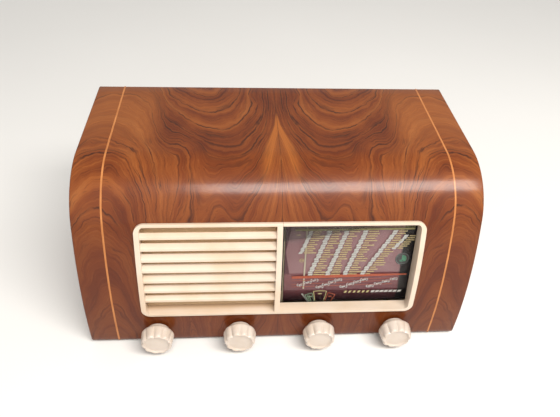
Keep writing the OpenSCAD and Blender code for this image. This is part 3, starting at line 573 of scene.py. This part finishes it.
def build_cabinet():
    half = CAB_W / 2
    left = []
    for k in range(5):
        a = math.pi / 2 * k / 4
        left.append((-half + ROUND * (1 - math.cos(a)), ROUND * (1 - math.sin(a))))
    groove = INLAY_X + INLAY_W / 2
    stations = [(x, d, d) for x, d in left]
    stations += [(-groove, 0, 0), (-groove + 0.001, INLAY_T, 0), (-groove + INLAY_W - 0.001, INLAY_T, 0)]
    stations += [(-groove + INLAY_W, 0, 0)]
    stations += [(x, 0, 0) for x in range(-160, 1, 20)]
    stations += [(-x, d, t) for x, d, t in reversed(stations[:-1])]
    rings = [skin_ring(x, d, SHELL_T, t) for x, d, t in stations]
    skin = loft("cabinet_skin", rings)
    shell = new_object("cabinet_skin", skin, book_matched_walnut(), "radio", "cabinet_shell", smooth=0)
    hole = rounded_rectangle(TRIM_X - OPEN_W / 2 - 2.6, TRIM_X + OPEN_W / 2 + 2.6, TUBE_S[0] - 0.3, TUBE_S[1] + 0.3, 7)
    cutters = [cutter_object("opening", loft("opening", [[dial(x, d, s) for x, s in hole] for d in (-15, 25)]))]
    for x in KNOB_X:
        turn = [math.tau * k / 32 for k in range(32)]
        rings = [[cab(x + 4.5 * math.cos(a), y, KNOB_Z + 4.5 * math.sin(a)) for a in turn] for y in (-5, 15)]
        cutters.append(cutter_object("shaft_hole", loft("shaft_hole", rings)))
    cut(shell, *cutters)
    store_grain(shell.data)
    shell.data.shade_smooth()
    shell.data.set_sharp_from_angle(angle=math.radians(28))

    strips = None
    for side in (-1, 1):
        rings = [skin_ring(side * INLAY_X + dx, -0.02, INLAY_T - 0.02, 0.15, 0.3)
                 for dx in (-INLAY_W / 2 + 0.06, INLAY_W / 2 - 0.06)]
        strip = loft("inlay", rings)
        if strips is None:
            strips = strip
        else:
            both = bmesh.new()
            both.from_mesh(strips)
            both.from_mesh(strip)
            both.to_mesh(strips)
            both.free()
    store_grain(strips)
    new_object("inlay_strips", strips, boxwood(), "radio", "inlay_lines")


build_cabinet()


# ---------------------------------------------------------------- knobs
def knob_profile():
    """(distance behind the face, radius, share of the lobes' depth), from the face's middle round to the bore."""
    face = [(1.9, 0.0, 0), (1.7, 0.7, 0), (1.75, 2.2, 0), (1.85, 6, 0), (1.9, 11, 0), (1.85, 12.6, 0), (1.5, 13.2, 0)]
    rim = [(0.4, 13.65, 0), (0.08, 14.1, 0), (0.05, 14.9, 0.6), (0.25, 15.6, 0.9), (0.75, 16.25, 1), (1.7, 16.7, 1)]
    side = [(4, 17.1, 0.85), (7, 17.55, 0.65), (10, 17.95, 0.45), (11.8, 18.15, 0.32), (13, 17.95, 0.2),
            (14, 17.3, 0.1)]
    back = [(14.9, 15.8, 0), (15.35, 13.8, 0), (15.4, 12.4, 0), (15.7, 12.2, 0), (19.8, 12.2, 0), (20.1, 12.0, 0),
            (20.15, 11.6, 0), (20.15, 3.25, 0), (19.95, KNOB_BORE_R, 0), (KNOB_BORE_T, KNOB_BORE_R, 0)]
    return face + rim + side + back


def build_knob(name, x, turn, material, body):
    steps = LOBES * 16
    rings = []
    for t, r, share in knob_profile()[1:]:
        ring = []
        for k in range(steps):
            a = math.tau * k / steps
            notch = (1 - abs(math.sin(LOBES * (a - math.pi + math.radians(turn)) / 2))) ** 1.25
            radius = r - 2.3 * share * notch
            ring.append(cab(x + radius * math.sin(a), t - KNOB_OUT, KNOB_Z + radius * math.cos(a)))
        rings.append(ring)
    mesh = loft(name, rings)
    return new_object(name + "_moulded", mesh, material, body, name, smooth=50)


knob_cream = moulded("knob_plastic", (0.55, 0.47, 0.405), (0.49, 0.40, 0.32), 0.34, coat=0.25, stain_mm=20, soft=0.05)
for which, x, turn in zip(("volume", "tone", "band", "tuning"), KNOB_X, KNOB_TURN):
    build_knob("knob_" + which, x, turn, knob_cream, which)

# ---------------------------------------------------------------- front moulding and grille
trim_cream = moulded("cream_plastic", (0.61, 0.50, 0.40), (0.55, 0.415, 0.29), 0.36, coat=0.2, soft=0.03, seam=True)
bevelled_copy("front_moulding", trim_cream, "radio", 0.8, 3)


def build_cloth():
    low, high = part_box("grille_cloth")
    x0, x1 = low.x / MM, high.x / MM
    s0, s1 = -62, 60
    columns, rows = 60, 48
    points = [dial(x0 + (x1 - x0) * i / columns, 9.3 + 0.12 * math.sin(i * 0.9) * math.sin(j * 0.7),
                   s0 + (s1 - s0) * j / rows) for j in range(rows + 1) for i in range(columns + 1)]
    faces = []
    for j in range(rows):
        for i in range(columns):
            a = j * (columns + 1) + i
            faces.append([a, a + 1, a + columns + 2, a + columns + 1])
    mesh = mesh_from("grille_cloth_woven", points, faces)
    material = woven("woven_cloth", (0.34, 0.19, 0.08), (0.80, 0.56, 0.32), 0.8)
    cloth = new_object("grille_cloth_woven", mesh, material, "radio", "grille_cloth")
    thick = cloth.modifiers.new("thickness", "SOLIDIFY")
    thick.thickness = 0.35 * MM
    thick.offset = 0
    apply_modifiers(cloth)


build_cloth()


# ---------------------------------------------------------------- dial
class Print:
    """Flat ink marks on a plane of the dial, collected into one mesh."""

    def __init__(self, depth, thick=0.04):
        self.depth, self.thick = depth, thick
        self.points, self.faces, self.inks = [], [], []

    def shape(self, outline_points, ink):
        start, count = len(self.points), len(outline_points)
        for d in (self.depth, self.depth + self.thick):
            self.points += [dial(x, d, s) for x, s in outline_points]
        made = [[start + i for i in range(count)], [start + count + i for i in reversed(range(count))]]
        for i in range(count):
            j = (i + 1) % count
            made.append([start + j, start + i, start + count + i, start + count + j])
        self.faces += made
        self.inks += [ink] * len(made)

    def bar(self, x0, s0, x1, s1, width, ink):
        """A straight line with some width."""
        along = Vector((x1 - x0, s1 - s0)).normalized()
        side = Vector((-along.y, along.x)) * width / 2
        ends = (Vector((x0, s0)), Vector((x1, s1)))
        self.shape([ends[0] + side, ends[0] - side, ends[1] - side, ends[1] + side], ink)

    def arc(self, cx, cs, r, a0, a1, width, ink, steps=8):
        """Part of a circle; angles in degrees to the right of upright."""
        inner, outer = [], []
        for k in range(steps + 1):
            a = math.radians(a0 + (a1 - a0) * k / steps)
            inner.append((cx + (r - width / 2) * math.sin(a), cs + (r - width / 2) * math.cos(a)))
            outer.append((cx + (r + width / 2) * math.sin(a), cs + (r + width / 2) * math.cos(a)))
        self.shape(inner + outer[::-1], ink)

    def finish(self, name, material):
        mesh = bpy.data.meshes.new(name)
        mesh.from_pydata([tuple(p) for p in self.points], [], self.faces)
        ink = mesh.color_attributes.new("ink", "FLOAT_COLOR", "CORNER")
        for face, colour in zip(mesh.polygons, self.inks):
            for loop in face.loop_indices:
                ink.data[loop].color = (*colour, 1)
        return new_object(name, mesh, material, "radio", smooth=0)


PALE = (0.93, 0.90, 0.85)
TAN = (0.95, 0.74, 0.38)
OLIVE = (0.66, 0.58, 0.24)
RED = (0.72, 0.15, 0.07)
WHITE = (0.96, 0.95, 0.92)
GREEN = (0.36, 0.52, 0.34)
YELLOW = (0.86, 0.74, 0.34)
# Layout of the printed scale, in millimetres
COLUMN_TOP, COLUMN_PITCH = 38.5, 19.5
FULL_STEP, SHORT_STEP = 2.92, 2.65
RUN, NUMERAL_LOW, NUMERAL_RISE = 4, -34.2, 3.1
# Inner radius of the wave-range fan, in millimetres
FAN_R = 26.5


def word(sheet, x, s, length, ink, tall=1.5):
    """Marks about as long and as dense as a printed name, without letters."""
    end = x + length
    while x < end:
        step = random.uniform(0.8, 1.5)
        high = tall * random.choice((0.8, 0.8, 1.0))
        low = s - tall / 2
        sheet.shape([(x, low), (x + step - 0.14, low), (x + step - 0.14, low + high), (x, low + high)], ink)
        x += step


def column(sheet, x, s, lean, rows, step, wide):
    """Station blocks from (x, s) downwards and `lean` to the left, each with a name to its right."""
    half = wide / 2
    corners = ((-half - 0.2, -1.25), (half - 0.8, -1.25), (half + 0.2, 1.2), (-half + 0.8, 1.2))
    for k in range(rows):
        middle = x - lean * k / (rows - 1) + random.uniform(-0.25, 0.25)
        shift = 0.4 if k % 2 else -0.4
        sheet.shape([(middle + shift + cx, s + cs) for cx, cs in corners], PALE)
        room = 144 - (middle + half)
        word(sheet, middle + half + 0.9, s, min(random.choice((5, 7, 8.5, 10, 12.5)), room), TAN)
        s -= step


def build_print():
    sheet = Print(GLASS_BACK + 0.02)
    sheet.shape([(15.7, 39.9), (15.7, 41.9), (143.7, 42.5), (143.7, 40.5)], OLIVE)
    sheet.bar(15.7, 43.4, 143.7, 44.0, 0.35, OLIVE)
    # Four full columns at one pitch, the last leaning more, between a short one at each end
    column(sheet, 32.5, COLUMN_TOP, 9.5, 11, SHORT_STEP, 4.6)
    for k, lean in enumerate((18, 17, 18, 31)):
        column(sheet, 34 + COLUMN_PITCH * k + lean, COLUMN_TOP, lean, 20, FULL_STEP, 5.6)
    column(sheet, 135.5, 32.5, 11, 7, SHORT_STEP, 5)
    word(sheet, 16.6, 34.9, 4.2, TAN)
    mark_x, mark_s = 24, 2
    sheet.arc(mark_x, mark_s, 2.1, 0, 360, 0.55, YELLOW, 20)
    sheet.bar(mark_x - 2.2, mark_s, mark_x + 2.2, mark_s, 0.5, YELLOW)
    # Orange-red band and the thin lines under it
    sheet.shape([(14.3, -22.4), (14.3, -19.2), (80, -17.4), (142.9, -17.6), (142.9, -19.4), (80, -21.4)], RED)
    for s0, s1 in ((-25.2, -23.6), (-30.4, -26.6), (-33.6, -31.6)):
        sheet.bar(14.3, s0, 128, s1, 0.45, RED)
    # Numerals between curved brackets, in climbing runs whose step widens; the first run lacks its lowest
    runs = ((17, 7.6), (46, 6.8), (73, 7.5), (103, 8.7))
    numerals = [(x + step * k, NUMERAL_LOW + NUMERAL_RISE * k) for x, step in runs for k in range(RUN)]
    for x, s in numerals[1:]:
        word(sheet, x - 2.2, s, 3.8, WHITE)
        sheet.arc(x - 2.3, s, 1.7, -165, -15, 0.7, WHITE, 8)
        sheet.arc(x + 2.3, s, 1.7, 15, 165, 0.7, WHITE, 8)
        for side in (-1, 1):
            sheet.bar(x - 1.2 + side, s + 1.6 * side, x + 1.2 + side, s + 1.6 * side, 0.5, WHITE)
    # Wave ranges: three sectors about the needle's axis
    px, ps = KNOB_X[2] + 1.2, -80
    for a0, a1, ink in ((-26, -13.5, GREEN), (-11, 10.3, YELLOW), (13.5, 26.6, RED)):
        r = 38.4 if ink is not YELLOW else 40.2
        sheet.arc(px, ps, r, a0, a1, 0.8, ink)
        for a in (a0, a1):
            turn = math.radians(a)
            across, up = math.sin(turn), math.cos(turn)
            sheet.bar(px + FAN_R * across, ps + FAN_R * up, px + r * across, ps + r * up, 0.7, ink)
        middle = math.radians((a0 + a1) / 2)
        word(sheet, px + (r - 4) * math.sin(middle) - 2, ps + (r - 4) * math.cos(middle), 3.6, ink)
    for a in (-23, -20):
        turn = math.radians(a)
        across, up = math.sin(turn), math.cos(turn)
        sheet.bar(px + FAN_R * across, ps + FAN_R * up, px + 37 * across, ps + 37 * up, 0.7, GREEN)
    # A plain ornament low on the right, in place of any name
    for k in range(13):
        wide = 2.6 if k < 6 else 3.8
        x = 74 + k * 5.1
        sheet.shape([(x, -43.4), (x + wide, -43), (x + wide + 1.2, -40.2), (x + 1.2, -40.6)], YELLOW if k < 6 else PALE)
    sheet.finish("dial_print", printed("printed_ink"))


def build_backing():
    """Card behind the pointer: mauve field, a dark edge on the left, painted shade at the right and along the top, and
    a dark step back where the needle swings.
    """
    m = Shader("dial_card", Coat_Weight=0.6, Coat_Roughness=0.08)
    x, s, _ = m.split(m.attribute("dial")["Vector"])
    lean = m.math("ABSOLUTE", m.sub(s, 12))
    left = m.step(m.sub(x, m.add(m.mul(lean, 0.17), 6.6)), -0.4, 0.4)
    right = m.step(m.sub(x, m.add(m.mul(s, -0.03), 134.2)), -1.2, 1.6, 1, 0)
    bottom = m.step(s, -19.0, -15.5)
    cloudy = m.noise(m.join(m.mul(x, 0.03), m.mul(s, 0.04)), detail=4)
    mauve = m.mix(cloudy, (0.40, 0.19, 0.205), (0.50, 0.265, 0.28))
    field = m.mix(m.mul(left, bottom), (0.15, 0.030, 0.045), mauve)
    low = m.ramp(m.step(s, -60, -16),
                 (0.0, (0.06, 0.012, 0.018)), (0.45, (0.22, 0.055, 0.07)), (1.0, (0.36, 0.12, 0.13)))
    field = m.mix(m.step(s, -19.5, -15.5, 1, 0), field, low)
    # Painted shade: the card near black to the right of the field
    field = m.mix(right, (0.010, 0.004, 0.006), field)
    # Painted shadow along the top of the card, below the moulding's rim
    field = m.mix(m.step(s, 44, 52), field, (0.14, 0.06, 0.07))
    m.feed("Base Color", field)
    m.feed("Roughness", m.add(m.mul(cloudy, 0.1), 0.4))

    eye = (136, 1, 8)
    left_x, right_x = CARD_X
    depth = 13.6
    front = [(left_x, CARD_TOP), (right_x, CARD_TOP), (right_x, CARD_STEP), (left_x, CARD_STEP)]
    made = bmesh.new()
    turns = [math.tau * (k + 0.5) / 48 for k in range(48)]
    rim = [Vector((eye[0] + eye[2] * math.cos(a), eye[1] + eye[2] * math.sin(a))) for a in turns]
    wall = []
    for a in turns:
        # Where a ray from the eye's middle meets the edge of the card
        right = (right_x if math.cos(a) > 0 else left_x) - eye[0]
        top = (CARD_TOP if math.sin(a) > 0 else CARD_STEP) - eye[1]
        reach = min(right / math.cos(a), top / math.sin(a))
        wall.append(Vector((eye[0] + reach * math.cos(a), eye[1] + reach * math.sin(a))))
    for corner in front:
        nearest = min(range(48), key=lambda i: (wall[i] - Vector(corner)).length)
        wall[nearest] = Vector(corner)
    inner = [made.verts.new(dial(p.x, depth, p.y)) for p in rim]
    outer = [made.verts.new(dial(p.x, depth, p.y)) for p in wall]
    for i in range(48):
        j = (i + 1) % 48
        made.faces.new((inner[i], inner[j], outer[j], outer[i]))
    # The step back and the upright part behind the needle
    y_back = 19.6
    edge = dial(left_x, depth, CARD_STEP)
    z_edge = (edge.z - CAB_Z) / MM
    a, b = [made.verts.new(dial(x, depth, CARD_STEP)) for x in (left_x, right_x)]
    c, d = [made.verts.new(cab(x, y_back, z_edge - 0.2)) for x in (right_x, left_x)]
    e, f = [made.verts.new(cab(x, y_back, 40)) for x in (right_x, left_x)]
    made.faces.new((a, b, c, d))
    made.faces.new((d, c, e, f))
    bmesh.ops.recalc_face_normals(made, faces=made.faces)
    mesh = bpy.data.meshes.new("dial_card")
    made.to_mesh(mesh)
    made.free()
    place = mesh.attributes.new("dial", "FLOAT_VECTOR", "POINT")
    for point, store in zip(mesh.vertices, place.data):
        away = (point.co - DIAL_ORIGIN) / MM
        store.vector = (away.x, away.dot(DIAL_UP), away.dot(DIAL_IN))
    card = new_object("dial_card", mesh, m.material, "radio", smooth=0)
    thick = card.modifiers.new("thickness", "SOLIDIFY")
    thick.thickness = 0.25 * MM
    thick.offset = 0
    apply_modifiers(card)


def build_light_seal():
    """A folded felt strip between the divider and the dial frame, which keeps daylight out beside the card."""
    fold = [(0.3, 12.7), (0.42, 13.15), (0.7, 13.35), (2.0, 13.4), (3.3, 13.35), (3.56, 13.15), (3.68, 12.7)]
    rows = 12
    points = [dial(x, d, CARD_STEP + (CARD_TOP - CARD_STEP) * k / rows) for k in range(rows + 1) for x, d in fold]
    across = len(fold)
    faces = [[k * across + i, k * across + i + 1, (k + 1) * across + i + 1, (k + 1) * across + i]
             for k in range(rows) for i in range(across - 1)]
    felt = fibre_board("black_felt", (0.008, 0.007, 0.007), (0.026, 0.022, 0.022), 0.6, 0.95, 0.2)
    strip = new_object("light_seal", mesh_from("light_seal", points, faces), felt, "radio", smooth=40)
    thick = strip.modifiers.new("thickness", "SOLIDIFY")
    thick.thickness = 0.3 * MM
    thick.offset = 0
    apply_modifiers(strip)


def build_eye():
    """The tuning eye's face: a thin pale ring and a dull green wedge on dark glass, the wedge with a faint painted
    glow.
    """
    m = Shader("eye_target", Coat_Weight=0.9, Coat_Roughness=0.05, Emission_Strength=0.10)
    px, ps, _ = m.split(m.attribute("eye")["Vector"])
    squares = [m.math("POWER", m.math("ABSOLUTE", part), 2.0) for part in (px, ps)]
    r = m.math("SQRT", m.add(*squares))
    angle = m.math("ARCTAN2", m.add(ps, 1), m.add(px, 0.5))
    cloudy = m.noise(m.join(px, ps), 0.6, detail=4, rough=0.6)
    fan = m.mul(m.step(m.math("ABSOLUTE", m.sub(angle, 0.4)), 1.35, 1.0), m.step(r, 5.2, 4.2))
    patch = m.mul(m.step(m.math("ABSOLUTE", m.add(angle, 1.9)), 0.9, 0.6), m.step(r, 4.6, 3.8))
    lit = m.math("MAXIMUM", fan, m.mul(patch, 0.8))
    colour = m.mix(m.mul(lit, m.step(cloudy, 0.3, 0.55, 0.45, 1.0)), (0.07, 0.06, 0.065), (0.10, 0.42, 0.24))
    ring = m.step(m.math("ABSOLUTE", m.sub(r, 7.1)), 0.55, 0.15)
    colour = m.mix(m.mul(ring, 0.55), colour, (0.24, 0.32, 0.27))
    colour = m.mix(m.step(r, 7.6, 8.2), colour, (0.03, 0.02, 0.022))
    m.feed("Base Color", colour)
    m.feed("Roughness", m.add(m.mul(cloudy, 0.2), 0.3))
    # Painted glow: faint green light from the wedge
    m.feed("Emission Color", m.mix(lit, (0, 0, 0), (0.02, 0.30, 0.12)))
    rings = []
    profile = [(13.85, 0.3), (13.72, 3), (13.7, 7.2), (13.65, 7.8), (13.8, 7.95), (13.9, 7.9)]
    for depth, radius in profile:
        rings.append([dial(136 + radius * math.cos(math.tau * k / 48), depth, 1 + radius * math.sin(math.tau * k / 48))
                      for k in range(48)])
    mesh = loft("eye_target", rings)
    place = mesh.attributes.new("eye", "FLOAT_VECTOR", "POINT")
    for point, store in zip(mesh.vertices, place.data):
        away = (point.co - DIAL_ORIGIN) / MM
        store.vector = (away.x - 136, away.dot(DIAL_UP) - 1, 0)
    new_object("eye_target", mesh, m.material, "radio")


build_print()
build_backing()
build_light_seal()
build_eye()
bevelled_copy("dial_glass", clear_glass("dial_glass_clear", (0.98, 0.985, 0.98)), "radio", 0.5, 2)

# ---------------------------------------------------------------- materials of the nodes that stay
steel = metal("zinc_steel", (0.55, 0.55, 0.53), (0.33, 0.32, 0.30), 0.42)
shaft_steel = metal("steel_shaft", (0.60, 0.60, 0.58), (0.42, 0.42, 0.40), 0.30)
plate = metal("chassis_plate", (0.56, 0.55, 0.50), (0.36, 0.34, 0.29), 0.46)
aluminium = metal("can_aluminium", (0.78, 0.78, 0.77), (0.55, 0.55, 0.54), 0.38)
brass = metal("brass_wheel", (0.66, 0.46, 0.18), (0.36, 0.22, 0.08), 0.40)
iron = metal("black_iron", (0.020, 0.019, 0.018), (0.045, 0.038, 0.032), 0.45, metallic=0.3)
grey_paint = metal("grey_paint", (0.16, 0.17, 0.17), (0.10, 0.10, 0.10), 0.45, metallic=0.0)
cream_paint = metal("cream_paint", (0.58, 0.48, 0.32), (0.44, 0.34, 0.20), 0.55, metallic=0.0)
white_paint = metal("white_needle", (0.80, 0.79, 0.75), (0.62, 0.58, 0.50), 0.45, metallic=0.0)
phenolic = fibre_board("brown_phenolic", (0.020, 0.009, 0.005), (0.055, 0.024, 0.011), 1.2, 0.45, 0.05)
hardboard = fibre_board("hardboard", (0.050, 0.026, 0.013), (0.15, 0.085, 0.042), 0.7, 0.85, 0.18)
pressed = fibre_board("pressed_board", (0.20, 0.105, 0.04), (0.40, 0.24, 0.10), 1.0, 0.6, 0.08)
rubber = fibre_board("black_rubber", (0.010, 0.010, 0.010), (0.030, 0.029, 0.028), 1.5, 0.7, 0.06)
paper = fibre_board("cone_paper", (0.008, 0.007, 0.006), (0.030, 0.026, 0.022), 0.9, 0.9, 0.25)
softwood = plain_wood("softwood", (0.26, 0.14, 0.06), (0.52, 0.33, 0.16), 7)
plywood = plain_wood("plywood", (0.24, 0.12, 0.05), (0.46, 0.28, 0.13), 12)
pointer_cream = moulded("pointer_plastic", (0.82, 0.72, 0.55), (0.72, 0.57, 0.36), 0.4)
bulb = clear_glass("valve_glass", (0.90, 0.93, 0.93))
lamp = clear_glass("lamp_glass", (0.95, 0.80, 0.50))
eye_glass = clear_glass("eye_glass", (0.30, 0.42, 0.34))
braid = woven("waxed_cord", (0.20, 0.14, 0.07), (0.48, 0.38, 0.22), 0.5)

FINISHES = {
    side_walnut(): ("side_panel_left", "side_panel_right"),
    plywood: ("base_board",),
    softwood: ("back_battens", "mounting_blocks", "baffle_board"),
    steel: ("foot_screws", "rear_cover_screws", "panel_screws", "speaker_screws", "pointer_carriage", "pointer_rail",
            "chassis_bolts"),
    shaft_steel: ("tuning_shaft", "volume_shaft", "tone_shaft", "band_shaft"),
    plate: ("chassis",),
    aluminium: ("if_cans", "smoothing_capacitor", "tuning_stator", "tuning_rotor"),
    brass: ("cord_pulley_left", "cord_pulley_right", "tuning_bearing"),
    iron: ("speaker_magnet", "mains_transformer", "output_transformer"),
    grey_paint: ("speaker_basket",),
    cream_paint: ("dial_frame",),
    white_paint: ("band_needle",),
    phenolic: ("valve_sockets", "drive_drum", "volume_control", "tone_control", "socket_strip"),
    hardboard: ("rear_cover",),
    pressed: ("band_switch",),
    rubber: ("rubber_feet", "mains_gland"),
    paper: ("speaker_cone", "speaker_dust_cap"),
    pointer_cream: ("dial_pointer",),
    bulb: ("rectifier_valve", "output_valve", "detector_valve", "if_valve", "mixer_valve"),
    lamp: ("dial_lamps",),
    eye_glass: ("magic_eye",),
    braid: ("drive_cord",),
}
for material, names in FINISHES.items():
    for name in names:
        mesh = nodes[name].data
        mesh.materials.clear()
        mesh.materials.append(material)


# ---------------------------------------------------------------- floor, light and camera
def build_stage():
    m = Shader("floor_pale")
    where = m.place()
    cloud = m.noise(where, 0.002, detail=3)
    m.feed("Base Color", m.mix(cloud, (0.68, 0.67, 0.65), (0.73, 0.72, 0.70)))
    m.feed("Roughness", m.add(m.mul(m.noise(where, 0.5, detail=2), 0.1), 0.55))
    corners = [(-4, -3, 0), (4, -3, 0), (4, 5, 0), (-4, 5, 0)]
    floor = bpy.data.objects.new("floor", mesh_from("floor", corners, [[0, 1, 2, 3]]))
    bpy.context.scene.collection.objects.link(floor)
    floor.data.materials.append(m.material)

    # A bright room, brighter towards the front
    world = bpy.data.worlds.new("studio")
    world.use_nodes = True
    tree = world.node_tree
    towards = tree.nodes.new("ShaderNodeVectorMath")
    towards.operation = "DOT_PRODUCT"
    tree.links.new(tree.nodes.new("ShaderNodeTexCoord").outputs["Generated"], towards.inputs[0])
    towards.inputs[1].default_value = Vector((-0.12, -0.98, 0.14)).normalized()
    strength = tree.nodes.new("ShaderNodeMapRange")
    strength.interpolation_type = "SMOOTHSTEP"
    tree.links.new(towards.outputs["Value"], strength.inputs["Value"])
    for key, value in (("From Min", 0.2), ("From Max", 1.0), ("To Min", 0.53), ("To Max", 1.2)):
        strength.inputs[key].default_value = value
    background = tree.nodes["Background"]
    background.inputs[0].default_value = (1.0, 0.985, 0.96, 1)
    tree.links.new(strength.outputs[0], background.inputs[1])
    bpy.context.scene.world = world

    # A long window high in front, seen as a band along the shoulder
    light = bpy.data.lights.new("window", "AREA")
    light.shape = "RECTANGLE"
    light.size, light.size_y = 1.25, 0.44
    light.energy = 36
    light.color = (1.0, 0.97, 0.93)
    window = bpy.data.objects.new("window", light)
    place = Vector((0.42, -0.715, 1.45))
    away = (place - cab(0, 60, 120)).normalized()
    along = Vector((0.99, 0.14, -0.03))
    along = (along - away * along.dot(away)).normalized()
    window.matrix_world = Matrix.Translation(place) @ Matrix((along, away.cross(along), away)).transposed().to_4x4()
    bpy.context.scene.collection.objects.link(window)


def build_camera():
    """A camera above and in front, a little to the left, with a slight roll."""
    yaw, pitch, roll = math.radians(5.673), math.radians(39.771), math.radians(3.410)
    forward = Vector((math.sin(yaw) * math.cos(pitch), math.cos(yaw) * math.cos(pitch), -math.sin(pitch)))
    level = Vector((math.cos(yaw), -math.sin(yaw), 0))
    upright = level.cross(forward)
    right = math.cos(roll) * level + math.sin(roll) * upright
    up = -math.sin(roll) * level + math.cos(roll) * upright
    data = bpy.data.cameras.new("camera")
    data.sensor_width = 36
    data.lens = 35.07
    data.shift_x, data.shift_y = 0.0063, -0.0489
    camera = bpy.data.objects.new("camera", data)
    turn = Matrix((right, up, -forward)).transposed()
    camera.matrix_world = Matrix.Translation(cab(-47.7, -369.6, 543.8)) @ turn.to_4x4()
    bpy.context.scene.collection.objects.link(camera)
    bpy.context.scene.camera = camera


build_stage()
build_camera()
bpy.context.scene.view_settings.view_transform = "Standard"
